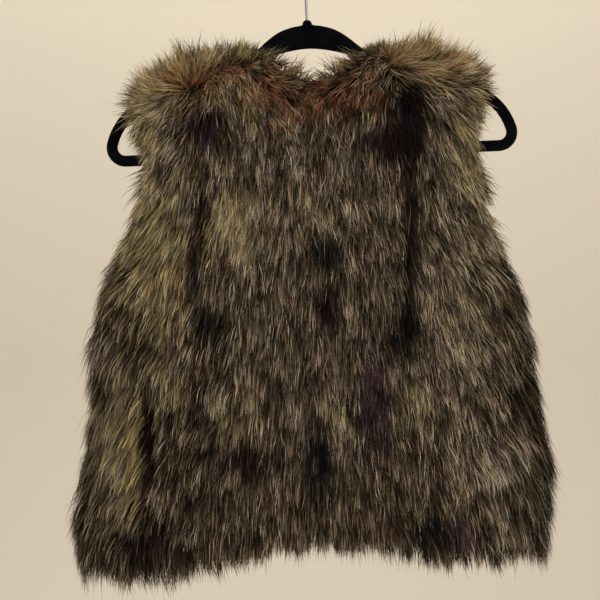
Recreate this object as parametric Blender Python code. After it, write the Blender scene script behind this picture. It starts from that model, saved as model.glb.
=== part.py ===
"""A long-pile faux fur vest on a slim flocked hanger, as it hangs.

Every size is in millimetres until the meshes are made, in metres. +Z is up, the back of the vest
faces -Y, and the origin is where the hook rests on a rod or a nail.
"""

import math
from collections import namedtuple
from functools import lru_cache

import bmesh
import bpy
import numpy as np
from mathutils import Matrix

# Driving dimensions, in millimetres and degrees
MM = 0.001
SEAM_CLEARANCE = 0.2  # each panel stops this far from a seam
VEST_SIDE = 2.7  # the vest hangs this far to the right of the hook
UNDERARM = -340.0
HEM_LEVEL = -650.0  # where the panels' columns are spaced for the hem
SHOULDER_LEVEL = -113.0  # where the search for the walls' tops starts
SETTLING_STEPS = 6
CLOTH_INSIDE_PILE = 9.0  # the backing stops this far above the tips of the hem's pile
SEAT_CLEARANCE = 0.5  # between the hanger's top edge and the shoulders on it
SEAT_DEPTH = 7.0  # the shoulders' curve over the hanger starts this far below its top edge
NECK_MIDDLE = 3.0
NECK_OPEN = 50.0  # up to here from its middle the neck is open
NECK_CLOSED = 74.0  # and from here the shoulders close over the hanger
SECTION_POWER = 0.8  # 1 gives an ellipse, and less a squarer section
SECTION_STEPS = 61  # for measuring lengths round a section
FOLD_START, FOLD_END = 60.0, 20.0  # a fold comes in and goes out over these heights
INNER_FOLD = 0.4  # of a fold's rise, on the inner face
ROLL_ROWS = 5
WALL_ROWS = 21
ROLL_SHARE = 0.1  # of each column's length, for the rows near its top
PANEL_SHARP, HANGER_SHARP = 50.0, 40.0  # degrees at which an edge is shaded sharp

HANGER_TILT = 2.4
HANGER_THICK = 6.0
HANGER_ROUND = 2.2  # radius along the hanger's edges
BAND_WIDE = 12.0
ARM_SLOPE = 20.4
ARM_START = (58.0, -95.5)
SHOULDER_CENTRE = (154.7, -206.1)  # of the long curve from the arm to the loop's corner
SHOULDER_RADIUS = 70.0
CORNER_CENTRE = (202.5, -193.3)  # of the tight curve into the lower bar
CORNER_RADIUS = 20.5
CORNER_FROM = 15.0
KNOB_HALF, KNOB_HIGH = 5.2, 5.2
KNOB_TOP = -62.9
KNOB_STEPS = 6
CREST_START = 8.0  # the crest's curve starts this far from the knob's middle
CREST_STEPS = 12
UNDERSIDE_STEPS = 8
SHOULDER_STEPS, CORNER_STEPS = 8, 8

WIRE_RADIUS = 1.5
HOOK_INNER_RADIUS = 18.0
HOOK_FROM, HOOK_TO = -75.0, 192.0  # the round part, in degrees from +X
STEM_TOP = -42.5
BEND_REACH = 3.5  # of the curve from the stem to the round part, at each end
HOOK_STEPS = 30
SOCKET_DEPTH = 10.0
SOCKET_CLEARANCE = 0.3
SOCKET_SIDES = 16

Silhouette = namedtuple("Silhouette", "z left right")
Depth = namedtuple("Depth", "z hollow wall least inset")
Seam = namedtuple("Seam", "z left right")
Top = namedtuple("Top", "x z")
Fold = namedtuple("Fold", "x top bottom width rise")

# How far the pile reaches on each side. Above the underarm it is the tube that the armholes cut.
SIDES = [
    Silhouette(-672, -232, 236),
    Silhouette(-655, -242, 248),
    Silhouette(-616, -255, 265),
    Silhouette(-585, -257, 267),
    Silhouette(-530, -246, 265),
    Silhouette(-475, -239, 254),
    Silhouette(-388, -236, 241),
    Silhouette(-340, -221, 230),
    Silhouette(-300, -220, 228),
    Silhouette(-90, -220, 228),
]

# The armholes' edges
ARMHOLES = [
    Silhouette(-340, -219, 230),
    Silhouette(-318, -213, 221),
    Silhouette(-291, -204, 210),
    Silhouette(-269, -193, 203),
    Silhouette(-236, -182, 198),
    Silhouette(-209, -179, 191),
    Silhouette(-186, -183, 188),
    Silhouette(-165, -192, 191),
    Silhouette(-150, -197, 195),
    Silhouette(-135, -199, 197),
]

# Half the inner hollow from front to back, the wall with its pile, the least half hollow, which
# clears the hanger, and the share of the wall by which its inner face is narrower.
DEPTHS = [
    Depth(-672, 28, 14, 0, 1),
    Depth(-640, 30, 17, 0, 1),
    Depth(-600, 30, 18, 0, 1),
    Depth(-500, 30, 18, 0, 1),
    Depth(-340, 26, 17, 0, 1),
    Depth(-290, 22, 17, 4, 0.7),
    Depth(-216, 16, 17, 5.5, 0.35),
    Depth(-165, 12, 17, 5.5, 0.25),
    Depth(-120, 10, 17, 5.5, 0.25),
    Depth(-90, 9, 17, 5.5, 0.25),
]

# Side seams below the underarm, in degrees round the section from the middle of the back
SIDE_SEAMS = [
    Seam(-672, -54, 64),
    Seam(-566, -56, 66),
    Seam(-487, -61, 74),
    Seam(-420, -70, 81),
    Seam(-340, -84, 90),
]

# Princess seams, across the back
PRINCESS_SEAMS = [
    Seam(-672, -132, 126),
    Seam(-480, -119, 112),
    Seam(-340, -114, 108),
    Seam(-200, -118, 114),
    Seam(-140, -126, 122),
]

# The tops of the pile along the shoulders
SHOULDERS = [
    Top(-206, -141),
    Top(-192, -124),
    Top(-176, -110),
    Top(-154, -101),
    Top(-127, -91),
    Top(-100, -87),
    Top(-72, -87),
    Top(-50, -93),
    Top(52, -99),
    Top(70, -92),
    Top(88, -84),
    Top(103, -77),
    Top(123, -76),
    Top(155, -85),
    Top(182, -97),
    Top(199, -113),
]

BACK_NECK = [
    Top(-72, -96),
    Top(-50, -95),
    Top(-32, -110),
    Top(-10, -121),
    Top(18, -122),
    Top(38, -112),
    Top(54, -101),
    Top(72, -98),
]

FRONT_NECK = [
    Top(-72, -98),
    Top(-52, -101),
    Top(-38, -122),
    Top(-20, -166),
    Top(4, -212),
    Top(28, -166),
    Top(46, -122),
    Top(60, -101),
    Top(78, -97),
]

# The hanger's top edge from the knob to the arm
CREST = [
    Top(0, -68.2),
    Top(17.5, -70.6),
    Top(32.5, -76.0),
    Top(46, -85.4),
    Top(58, -95.5),
    Top(74, -101.5),
]

# The underside of the crest, from left of the middle to the right arm
CREST_UNDERSIDE = [
    Top(-26, -97.6),
    Top(0, -94.2),
    Top(26, -97.6),
    Top(45, -103.2),
    Top(64, -110.5),
]

BACK_HEM = [
    Top(-248, -652),
    Top(-214, -670),
    Top(-181, -669),
    Top(-138, -665),
    Top(-100, -657),
    Top(-62, -648),
    Top(-18, -635),
    Top(25, -632),
    Top(79, -636),
    Top(112, -646),
    Top(144, -652),
    Top(177, -650),
    Top(209, -649),
    Top(242, -643),
    Top(262, -634),
]

FRONT_HEM = [
    Top(-248, -656),
    Top(-214, -667),
    Top(-190, -664),
    Top(-90, -648),
    Top(0, -641),
    Top(120, -639),
    Top(200, -642),
    Top(236, -643),
    Top(262, -634),
]

# Partings along the seams, and the soft flutes between them, by where each runs on its face
BACK_FOLDS = [
    Fold(-118, -190, -672, 13, -7),
    Fold(112, -190, -672, 13, -7),
    Fold(-174, -430, -690, 10, -6),
    Fold(-62, -330, -690, 34, 4),
    Fold(48, -300, -690, 40, 5),
    Fold(-5, -480, -690, 22, -4),
    Fold(176, -420, -690, 26, 4),
]

FRONT_FOLDS = [
    Fold(4, -212, -690, 12, -5),
    Fold(-80, -360, -690, 36, 4),
    Fold(92, -330, -690, 38, 4),
    Fold(-150, -420, -690, 26, -3),
    Fold(165, -420, -690, 26, -3),
]


# Reading the tables


def along(table, column, place):
    """A column of a table at a place between its rows, on a smooth curve through them."""
    at = np.array([row[0] for row in table], float)
    value = np.array([getattr(row, column) for row in table], float)
    slope = np.gradient(value, at)
    i = int(np.clip(np.searchsorted(at, place) - 1, 0, len(at) - 2))
    step = at[i + 1] - at[i]
    s = min(max((place - at[i]) / step, 0.0), 1.0)
    start = (1 + 2 * s) * (1 - s) ** 2 * value[i] + s * (1 - s) ** 2 * step * slope[i]
    end = s * s * (3 - 2 * s) * value[i + 1] + s * s * (s - 1) * step * slope[i + 1]
    return start + end


def eased(value):
    """A smooth step from 0 to 1."""
    s = min(max(value, 0.0), 1.0)
    return s * s * (3 - 2 * s)


def mixed(start, end, share):
    return start + (end - start) * share


# The garment's section at one height


Section = namedtuple("Section", "middle half hollow wall least inset")


@lru_cache(maxsize=None)
def section(z):
    """The sizes of the garment's section at one height."""
    left, right = along(SIDES, "left", z), along(SIDES, "right", z)
    depths = (along(DEPTHS, column, z) for column in Depth._fields[1:])
    return Section((left + right) / 2, (right - left) / 2, *depths)


def squared(value):
    return np.copysign(np.abs(value) ** SECTION_POWER, value)


def angle_at(x, z):
    """The angle round the section, from the back's middle, of a place on the back."""
    share = np.clip((x - section(z).middle) / section(z).half, -1.0, 1.0)
    return math.asin(math.copysign(abs(share) ** (1 / SECTION_POWER), share))


def outer_x(angle, z):
    return section(z).middle + section(z).half * squared(np.sin(angle))


def inner_x(angle, z):
    sizes = section(z)
    return sizes.middle + (sizes.half - sizes.wall * sizes.inset) * squared(np.sin(angle))


def half_depths(angle, z):
    """How far the outer and the inner face lie from the hanger's plane."""
    deep = np.abs(squared(np.cos(angle)))
    inner = np.maximum(section(z).hollow * deep, section(z).least)
    return inner + section(z).wall * deep, inner


def fold_rise(angle, x, z):
    """How far the folds lift the outer face at a place."""
    total = 0.0
    for fold in BACK_FOLDS if math.cos(angle) > 0 else FRONT_FOLDS:
        reach = eased((fold.top - z) / FOLD_START) * eased((z - fold.bottom) / FOLD_END)
        total += fold.rise * reach * math.exp(-(((x - fold.x) / fold.width) ** 2))
    return total * abs(math.cos(angle))


# The panels' edges, as angles round the section


def side_edge(z, side, on_front):
    """The armhole's edge, and below it the side seam."""
    if z < UNDERARM:
        return math.radians(along(SIDE_SEAMS, side, z))
    edge = angle_at(along(ARMHOLES, side, z), z)
    if on_front:
        return math.copysign(math.pi, edge) - edge
    return edge


def princess_edge(z, side):
    return angle_at(along(PRINCESS_SEAMS, side, z), z)


def angle_between(first, last, share, z):
    """The angle at a share of the way, by length, from one edge of a panel to the other."""
    angles = np.linspace(first, last, SECTION_STEPS)
    across, deep = outer_x(angles, z), half_depths(angles, z)[0] * np.sign(np.cos(angles))
    length = np.concatenate([[0], np.cumsum(np.hypot(np.diff(across), np.diff(deep)))])
    wanted = mixed(SEAM_CLEARANCE, length[-1] - SEAM_CLEARANCE, share)
    return float(np.interp(wanted, length, angles))


# The top of a column, at the neck or over the shoulder


def hanger_top(x):
    """The height of the tilted hanger's top edge along its arms."""
    side = math.copysign(1, x)
    tilt = math.radians(HANGER_TILT)
    start_x = side * ARM_START[0] * math.cos(tilt) - ARM_START[1] * math.sin(tilt)
    start_z = side * ARM_START[0] * math.sin(tilt) + ARM_START[1] * math.cos(tilt)
    slope = math.tan(math.radians(ARM_SLOPE) - side * tilt)
    return start_z - slope * abs(x - start_x)


def closing(x):
    return eased((abs(x - NECK_MIDDLE) - NECK_OPEN) / (NECK_CLOSED - NECK_OPEN))


def top_of_wall(x, on_front):
    """The height where the straight wall ends and the curve over the hanger starts."""
    neck = along(FRONT_NECK if on_front else BACK_NECK, "z", x)
    return mixed(neck, hanger_top(x + VEST_SIDE) - SEAT_DEPTH, min(2 * closing(x), 1.0))


class Column:
    """One column of a panel, from its top edge down to the hem."""

    def __init__(self, edges, share):
        self.edges, self.share = edges, share
        self.on_front = abs(self.angle(SHOULDER_LEVEL)) > math.pi / 2
        self.start = (self.wall_top(outer_x), self.wall_top(inner_x))
        top_angle = self.angle(self.start[0])
        outer = outer_x(top_angle, self.start[0])
        self.roll = math.pi / 2 * closing(outer)
        self.rise = (
            along(SHOULDERS, "z", outer) - self.start[0],
            SEAT_DEPTH + SEAT_CLEARANCE,
        )
        hem_angle = self.angle(HEM_LEVEL)
        hem = BACK_HEM if abs(hem_angle) < math.pi / 2 else FRONT_HEM
        self.hem = along(hem, "z", outer_x(hem_angle, HEM_LEVEL))
        roll_length = self.roll * (self.rise[0] + half_depths(top_angle, self.start[0])[0]) / 2
        self.roll_share = roll_length / (roll_length + self.start[0] - self.hem)

    def angle(self, z):
        first, last = (edge(z) for edge in self.edges)
        return angle_between(first, last, self.share, z)

    def points(self, place):
        """The outer and the inner point at a share of the column's length."""
        if place < self.roll_share:
            return self.over_hanger(self.roll * (1 - place / self.roll_share))
        return self.down_wall((place - self.roll_share) / (1 - self.roll_share))

    def wall_top(self, across):
        """The height of a face's wall top, which depends on where across the face is there."""
        z = SHOULDER_LEVEL
        for _ in range(SETTLING_STEPS):
            z = top_of_wall(float(across(self.angle(z), z)), self.on_front)
        return z

    def over_hanger(self, turn):
        side = 1 if self.on_front else -1
        found = []
        for k, across in enumerate((outer_x, inner_x)):
            angle = self.angle(self.start[k])
            deep = half_depths(angle, self.start[k])[k] * math.cos(turn)
            y = side * max(deep, SEAM_CLEARANCE)
            z = self.start[k] + self.rise[k] * math.sin(turn)
            found.append((across(angle, self.start[k]), y, z))
        return found

    def down_wall(self, share):
        z = mixed(self.start[0], self.hem, share)
        inner_z = mixed(self.start[1], self.hem + CLOTH_INSIDE_PILE, share)
        angle, inner_angle = self.angle(z), self.angle(inner_z)
        x = outer_x(angle, z)
        rise = fold_rise(angle, x, z)
        outer_y = half_depths(angle, z)[0] + rise
        inner_y = half_depths(inner_angle, inner_z)[1] + INNER_FOLD * rise * (z < UNDERARM)
        outer_side, inner_side = (-1 if math.cos(a) > 0 else 1 for a in (angle, inner_angle))
        inner_point = (inner_x(inner_angle, inner_z), inner_side * inner_y, inner_z)
        return [(x, outer_side * outer_y, z), inner_point]


# Meshes


def material(name, colour, roughness, metallic=0.0):
    found = bpy.data.materials.new(name)
    found.use_nodes = True
    principled = found.node_tree.nodes["Principled BSDF"]
    principled.inputs["Base Color"].default_value = (*colour, 1)
    principled.inputs["Roughness"].default_value = roughness
    principled.inputs["Metallic"].default_value = metallic
    return found


def add_object(name, data, collection, look):
    made = bpy.data.objects.new(name, data)
    data.materials.clear()
    data.materials.append(look)
    collection.objects.link(made)
    return made


def panel(name, edges, columns, collection, look):
    """A wall between two edges, lofted through its outer and its inner points."""
    places = np.concatenate(
        [
            np.linspace(0, ROLL_SHARE, ROLL_ROWS, endpoint=False),
            np.linspace(ROLL_SHARE, 1, WALL_ROWS),
        ]
    )
    mesh = bmesh.new()
    grid = [[], []]
    beside = np.array((VEST_SIDE, 0, 0))
    for k in range(columns + 1):
        column = Column(edges, k / columns)
        pairs = [column.points(place) for place in places]
        for face in range(2):
            line = [(pair[face] + beside) * MM for pair in pairs]
            grid[face].append([mesh.verts.new(point) for point in line])
    rows = len(places)
    for sheet in grid:
        for k in range(columns):
            for j in range(rows - 1):
                corners = (sheet[k][j], sheet[k + 1][j], sheet[k + 1][j + 1], sheet[k][j + 1])
                mesh.faces.new(corners)
    outer, inner = grid
    rim = [[(k, j) for j in range(rows)] for k in (0, columns)]
    rim += [[(k, j) for k in range(columns + 1)] for j in (0, rows - 1)]
    for line in rim:
        for (k, j), (m, n) in zip(line, line[1:]):
            mesh.faces.new((outer[k][j], outer[m][n], inner[m][n]))
            mesh.faces.new((outer[k][j], inner[m][n], inner[k][j]))
    bmesh.ops.recalc_face_normals(mesh, faces=mesh.faces)
    data = bpy.data.meshes.new(name)
    mesh.to_mesh(data)
    mesh.free()
    data.shade_smooth()
    data.set_sharp_from_angle(angle=math.radians(PANEL_SHARP))
    return add_object(name, data, collection, look)


def add_panels(collection, look):
    def back(side):
        return lambda z: side_edge(z, side, False)

    def front(side):
        return lambda z: side_edge(z, side, True)

    def princess(side):
        return lambda z: princess_edge(z, side)

    def centre_front(side):
        return lambda z: math.copysign(math.pi, side)

    panel("back_side_left", (back("left"), princess("left")), 8, collection, look)
    panel("back_centre", (princess("left"), princess("right")), 18, collection, look)
    panel("back_side_right", (princess("right"), back("right")), 8, collection, look)
    panel("front_left", (centre_front(-1), front("left")), 22, collection, look)
    panel("front_right", (front("right"), centre_front(1)), 20, collection, look)


# The hanger


def arc(centre, radius, first, last, steps):
    angles = np.radians(np.linspace(first, last, steps + 1))
    return [(centre[0] + radius * math.cos(a), centre[1] + radius * math.sin(a)) for a in angles]


def loop_end(inset):
    """The loop's end, from the arm round the shoulder and the corner to the lower bar."""
    long_curve = arc(
        SHOULDER_CENTRE, SHOULDER_RADIUS - inset, 90 - ARM_SLOPE, CORNER_FROM, SHOULDER_STEPS
    )
    tight = arc(CORNER_CENTRE, CORNER_RADIUS - inset, CORNER_FROM, -90, CORNER_STEPS)
    return long_curve + tight[1:]


def mirrored(half):
    """A closed outline from its right half, which runs from top to bottom."""
    return half + [(-x, z) for x, z in reversed(half) if x > 0]


def loop_outlines():
    knob_low = KNOB_TOP - KNOB_HIGH
    knob = [
        (KNOB_HALF * math.sin(a), knob_low + KNOB_HIGH * math.cos(a))
        for a in np.linspace(0, math.pi / 2, KNOB_STEPS + 1)
    ]
    across = np.linspace(CREST_START, CREST[-1].x, CREST_STEPS + 1)
    crest = [(float(x), along(CREST, "z", x)) for x in across]
    outer = knob + crest + loop_end(0)
    across = np.linspace(0, CREST_UNDERSIDE[-1].x, UNDERSIDE_STEPS + 1)
    underside = [(float(x), along(CREST_UNDERSIDE, "z", x)) for x in across]
    return mirrored(outer), mirrored(underside + loop_end(BAND_WIDE))


def tilted(made):
    made.rotation_euler.y = -math.radians(HANGER_TILT)
    return made


def as_mesh(made):
    """A curve's object made again as a mesh whose caps are welded on."""
    bpy.context.view_layer.update()
    seen = made.evaluated_get(bpy.context.evaluated_depsgraph_get())
    data = bpy.data.meshes.new_from_object(seen)
    work = bmesh.new()
    work.from_mesh(data)
    bmesh.ops.remove_doubles(work, verts=work.verts, dist=1e-6)
    bmesh.ops.recalc_face_normals(work, faces=work.faces)
    work.to_mesh(data)
    work.free()
    bpy.data.objects.remove(made)
    return data


def add_hanger_body(collection, cutters, look):
    curve = bpy.data.curves.new("hanger_outline", "CURVE")
    curve.dimensions = "2D"
    curve.fill_mode = "BOTH"
    curve.extrude = (HANGER_THICK / 2 - HANGER_ROUND) * MM
    curve.bevel_depth = HANGER_ROUND * MM
    curve.offset = -HANGER_ROUND * MM
    curve.bevel_resolution = 1
    for outline in loop_outlines():
        spline = curve.splines.new("POLY")
        spline.points.add(len(outline) - 1)
        spline.use_cyclic_u = True
        for point, (x, z) in zip(spline.points, outline):
            point.co = (x * MM, z * MM, 0, 1)
    flat = add_object("hanger_flat", curve, collection, look)
    data = as_mesh(flat)
    data.transform(upright())
    body = tilted(add_object("hanger_body", data, collection, look))
    body.data.shade_smooth()
    body.data.set_sharp_from_angle(angle=math.radians(HANGER_SHARP))
    socket = tilted(add_socket(cutters, look))
    cut = body.modifiers.new("socket", "BOOLEAN")
    cut.operation = "DIFFERENCE"
    cut.object = socket
    return body


def upright():
    """Turns what is drawn flat, with its top at +Y, to stand in the XZ plane."""
    return Matrix.Rotation(math.pi / 2, 4, "X")


def add_socket(cutters, look):
    mesh = bmesh.new()
    radius = (WIRE_RADIUS + SOCKET_CLEARANCE) * MM
    depth = 2 * SOCKET_DEPTH * MM
    bmesh.ops.create_cone(
        mesh, cap_ends=True, segments=SOCKET_SIDES, radius1=radius, radius2=radius, depth=depth
    )
    bmesh.ops.translate(mesh, verts=mesh.verts, vec=(0, 0, KNOB_TOP * MM))
    data = bpy.data.meshes.new("hook_socket")
    mesh.to_mesh(data)
    mesh.free()
    socket = add_object("hook_socket", data, cutters, look)
    socket.hide_render = True
    socket.display_type = "WIRE"
    return socket


def hook_points():
    """The wire's middle line, from inside the hanger round to the hook's free end."""
    radius = HOOK_INNER_RADIUS + WIRE_RADIUS
    centre_z = -HOOK_INNER_RADIUS
    foot = KNOB_TOP - SOCKET_DEPTH + SOCKET_CLEARANCE
    points = [(0.0, z) for z in np.linspace(foot, STEM_TOP, 3)]
    first = math.radians(HOOK_FROM)
    arc_start = np.array((radius * math.cos(first), centre_z + radius * math.sin(first)))
    heading = np.array((-math.sin(first), math.cos(first)))
    stem_end = np.array((0.0, STEM_TOP))
    handles = (stem_end + (0, BEND_REACH), arc_start - BEND_REACH * heading)
    for s in np.linspace(0, 1, 7)[1:-1]:
        bend = (1 - s) ** 3 * stem_end + 3 * s * (1 - s) ** 2 * handles[0]
        bend = bend + 3 * s * s * (1 - s) * handles[1] + s**3 * arc_start
        points.append(tuple(bend))
    for a in np.radians(np.linspace(HOOK_FROM, HOOK_TO, HOOK_STEPS)):
        points.append((radius * math.cos(a), centre_z + radius * math.sin(a)))
    return points


def add_hook(collection, look):
    curve = bpy.data.curves.new("hanger_hook", "CURVE")
    curve.dimensions = "3D"
    curve.bevel_depth = WIRE_RADIUS * MM
    curve.bevel_resolution = 2
    curve.use_fill_caps = True
    points = hook_points()
    spline = curve.splines.new("POLY")
    spline.points.add(len(points) - 1)
    for point, (x, z) in zip(spline.points, points):
        point.co = (x * MM, 0, z * MM, 1)
    return tilted(add_object("hanger_hook", curve, collection, look))


def main():
    for old in list(bpy.data.objects):
        bpy.data.objects.remove(old)
    collection = bpy.data.collections.new("faux_fur_vest")
    cutters = bpy.data.collections.new("cutters")
    for made in (collection, cutters):
        bpy.context.scene.collection.children.link(made)
    fur = material("long_pile_fur", (0.11, 0.085, 0.07), 0.85)
    flock = material("black_flock", (0.018, 0.018, 0.02), 0.95)
    steel = material("hook_steel", (0.62, 0.62, 0.63), 0.28, 1.0)
    add_panels(collection, fur)
    add_hanger_body(collection, cutters, flock)
    add_hook(collection, steel)


main()
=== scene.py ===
import math
from collections import namedtuple
from functools import lru_cache

import bmesh
import bpy
import numpy as np
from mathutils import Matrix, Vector


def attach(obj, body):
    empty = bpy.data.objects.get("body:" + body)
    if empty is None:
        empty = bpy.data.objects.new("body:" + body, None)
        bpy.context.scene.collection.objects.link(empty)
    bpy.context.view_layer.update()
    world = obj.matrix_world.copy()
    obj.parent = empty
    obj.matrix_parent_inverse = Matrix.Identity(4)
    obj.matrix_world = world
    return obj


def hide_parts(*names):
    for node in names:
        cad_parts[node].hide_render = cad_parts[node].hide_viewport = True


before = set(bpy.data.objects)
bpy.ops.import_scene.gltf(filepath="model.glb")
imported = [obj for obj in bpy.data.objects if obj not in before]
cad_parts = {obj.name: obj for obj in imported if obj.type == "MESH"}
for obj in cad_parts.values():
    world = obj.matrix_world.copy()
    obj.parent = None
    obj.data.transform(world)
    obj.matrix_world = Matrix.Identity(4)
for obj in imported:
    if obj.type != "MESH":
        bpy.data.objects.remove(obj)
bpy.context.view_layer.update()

# The garment's form, in millimetres and degrees, as in the part
MM = 0.001
SEAM_CLEARANCE = 0.2
VEST_SIDE = 2.7
UNDERARM = -340.0
HEM_LEVEL = -650.0
SHOULDER_LEVEL = -113.0
SETTLING_STEPS = 6
CLOTH_INSIDE_PILE = 9.0
SEAT_CLEARANCE = 0.5
SEAT_DEPTH = 7.0
NECK_MIDDLE = 3.0
NECK_OPEN = 50.0
NECK_CLOSED = 74.0
SEATED_SOONER = 2.0  # the wall's top meets the hanger twice as soon as the neck closes
SECTION_POWER = 0.8
SECTION_STEPS = 61
FOLD_START, FOLD_END = 60.0, 20.0
INNER_FOLD = 0.4
ROLL_ROWS = 5
WALL_ROWS = 21
ROLL_SHARE = 0.1
HANGER_TILT = 2.4
ARM_SLOPE = 20.4
ARM_START = (58.0, -95.5)

Silhouette = namedtuple("Silhouette", "z left right")
Depth = namedtuple("Depth", "z hollow wall least inset")
Seam = namedtuple("Seam", "z left right")
Top = namedtuple("Top", "x z")
Fold = namedtuple("Fold", "x top bottom width rise")

SIDES = [
    Silhouette(-672, -232, 236),
    Silhouette(-655, -242, 248),
    Silhouette(-616, -255, 265),
    Silhouette(-585, -257, 267),
    Silhouette(-530, -246, 265),
    Silhouette(-475, -239, 254),
    Silhouette(-388, -236, 241),
    Silhouette(-340, -221, 230),
    Silhouette(-300, -220, 228),
    Silhouette(-90, -220, 228),
]

ARMHOLES = [
    Silhouette(-340, -219, 230),
    Silhouette(-318, -213, 221),
    Silhouette(-291, -204, 210),
    Silhouette(-269, -193, 203),
    Silhouette(-236, -182, 198),
    Silhouette(-209, -179, 191),
    Silhouette(-186, -183, 188),
    Silhouette(-165, -192, 191),
    Silhouette(-150, -197, 195),
    Silhouette(-135, -199, 197),
]

DEPTHS = [
    Depth(-672, 28, 14, 0, 1),
    Depth(-640, 30, 17, 0, 1),
    Depth(-600, 30, 18, 0, 1),
    Depth(-500, 30, 18, 0, 1),
    Depth(-340, 26, 17, 0, 1),
    Depth(-290, 22, 17, 4, 0.7),
    Depth(-216, 16, 17, 5.5, 0.35),
    Depth(-165, 12, 17, 5.5, 0.25),
    Depth(-120, 10, 17, 5.5, 0.25),
    Depth(-90, 9, 17, 5.5, 0.25),
]

SIDE_SEAMS = [
    Seam(-672, -54, 64),
    Seam(-566, -56, 66),
    Seam(-487, -61, 74),
    Seam(-420, -70, 81),
    Seam(-340, -84, 90),
]

PRINCESS_SEAMS = [
    Seam(-672, -132, 126),
    Seam(-480, -119, 112),
    Seam(-340, -114, 108),
    Seam(-200, -118, 114),
    Seam(-140, -126, 122),
]

SHOULDERS = [
    Top(-206, -141),
    Top(-192, -124),
    Top(-176, -110),
    Top(-154, -101),
    Top(-127, -91),
    Top(-100, -87),
    Top(-72, -87),
    Top(-50, -93),
    Top(52, -99),
    Top(70, -92),
    Top(88, -84),
    Top(103, -77),
    Top(123, -76),
    Top(155, -85),
    Top(182, -97),
    Top(199, -113),
]

BACK_NECK = [
    Top(-72, -96),
    Top(-50, -95),
    Top(-32, -110),
    Top(-10, -121),
    Top(18, -122),
    Top(38, -112),
    Top(54, -101),
    Top(72, -98),
]

FRONT_NECK = [
    Top(-72, -98),
    Top(-52, -101),
    Top(-38, -122),
    Top(-20, -166),
    Top(4, -212),
    Top(28, -166),
    Top(46, -122),
    Top(60, -101),
    Top(78, -97),
]

BACK_HEM = [
    Top(-248, -652),
    Top(-214, -670),
    Top(-181, -669),
    Top(-138, -665),
    Top(-100, -657),
    Top(-62, -648),
    Top(-18, -635),
    Top(25, -632),
    Top(79, -636),
    Top(112, -646),
    Top(144, -652),
    Top(177, -650),
    Top(209, -649),
    Top(242, -643),
    Top(262, -634),
]

FRONT_HEM = [
    Top(-248, -656),
    Top(-214, -667),
    Top(-190, -664),
    Top(-90, -648),
    Top(0, -641),
    Top(120, -639),
    Top(200, -642),
    Top(236, -643),
    Top(262, -634),
]

BACK_FOLDS = [
    Fold(-118, -190, -672, 13, -7),
    Fold(112, -190, -672, 13, -7),
    Fold(-174, -430, -690, 10, -6),
    Fold(-62, -330, -690, 34, 4),
    Fold(48, -300, -690, 40, 5),
    Fold(-5, -480, -690, 22, -4),
    Fold(176, -420, -690, 26, 4),
]

FRONT_FOLDS = [
    Fold(4, -212, -690, 12, -5),
    Fold(-80, -360, -690, 36, 4),
    Fold(92, -330, -690, 38, 4),
    Fold(-150, -420, -690, 26, -3),
    Fold(165, -420, -690, 26, -3),
]

# The backing's cloth and the pile on it, in millimetres and degrees
CLOTH_THICK = 1.5
CLOTH_SHARP = 50.0
ARMHOLE_MARGIN = 10.0  # the cloth's edge lies this far inside the pile's at an armhole
HEM_MARGIN = 13.0
NECK_MARGIN = 7.0
MARGIN_RISE = 30.0  # the armhole's margin comes in over this height above the underarm
TINY = 1e-9
FIRST_SEED = 20
STRAND_LONG = 36.0
STRANDS_IN_TUFT = 10
TUFT_SPREAD = 2.8
TWIST = 50.0
BODY_CURL, CURL_EASE = 1.8, 0.32  # how early a strand leaves the cloth: at 1 it is straight
BODY_ROOM, ROOM_GAIN = 1.45, 0.25  # how far out a strand reaches, in thicknesses of the pile
ROOM_LEAST, REACH_LEAST = 3.0, 1.0
REACH_POWER = 1.2  # a strand reaches along the cloth more towards its tip
SAG = 3.5
PULL_POWER = 1.3  # a tuft draws its strands together more towards their tips

# Pile is disordered, or wild, where it stands off more than CALM_LIFT: by 1 for each WILD_LIFT,
# in degrees. WILDEST is the most that changes its curl and its room.
CALM_LIFT, WILD_LIFT, WILDEST = 22.0, 14.0, 2.0
WISP_SHARE, WISP_GAIN = 0.09, 0.5  # a few strands are wisps, and more of them where it is wild
WISP_LONG, WISP_ROOM = 1.45, 1.15

# How tufts and strands differ: how far they turn, in degrees, and the other values as shares
TUFT_TURN, STRAND_TURN = 13.0, 11.0
TUFT_LIFT, STRAND_LIFT = 0.16, 0.2
TUFT_LENGTHS, STRAND_LENGTHS = (0.84, 1.12), (0.62, 1.12)
TUFT_PULLS = (0.2, 0.6)
STRAND_CURLS = (0.8, 1.1)
STRAND_ROOMS = (0.86, 1.14)
STRAND_WIDTHS = (0.7, 1.15)
STRAND_STRETCHES = (0.72, 1.25)  # how far along the strand its colours are drawn out
TONE_MIDDLE, TUFT_TONE, STRAND_TONE = 0.48, 0.17, 0.14
TONE_STEPS = 16

# Soft random fields over the garment: the length of their waves in millimetres, the seed, how much
# they add, and how many times narrower and taller than that length their waves are
Field = namedtuple("Field", "scale seed size narrow tall", defaults=(1.0, 1.0))
TURNING = Field(46, 5, 6.0)
WILD_TURNING = Field(24, 12, 9.0)
LIFTING = Field(30, 6, 0.16)
LENGTHENING = Field(38, 7, 0.1)
RAGGED = (Field(26, 9, 0.42), Field(12, 10, 0.34, narrow=1.6))
STREAKS = (Field(12, 8, 0.15, tall=1.8), Field(30, 11, 0.15, tall=1.4))
WAVES_IN_FIELD = 7
WAVE_LENGTHS = (0.7, 1.4)
WAVES_HEIGHT = 2.6  # about how high the summed waves reach

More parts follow.
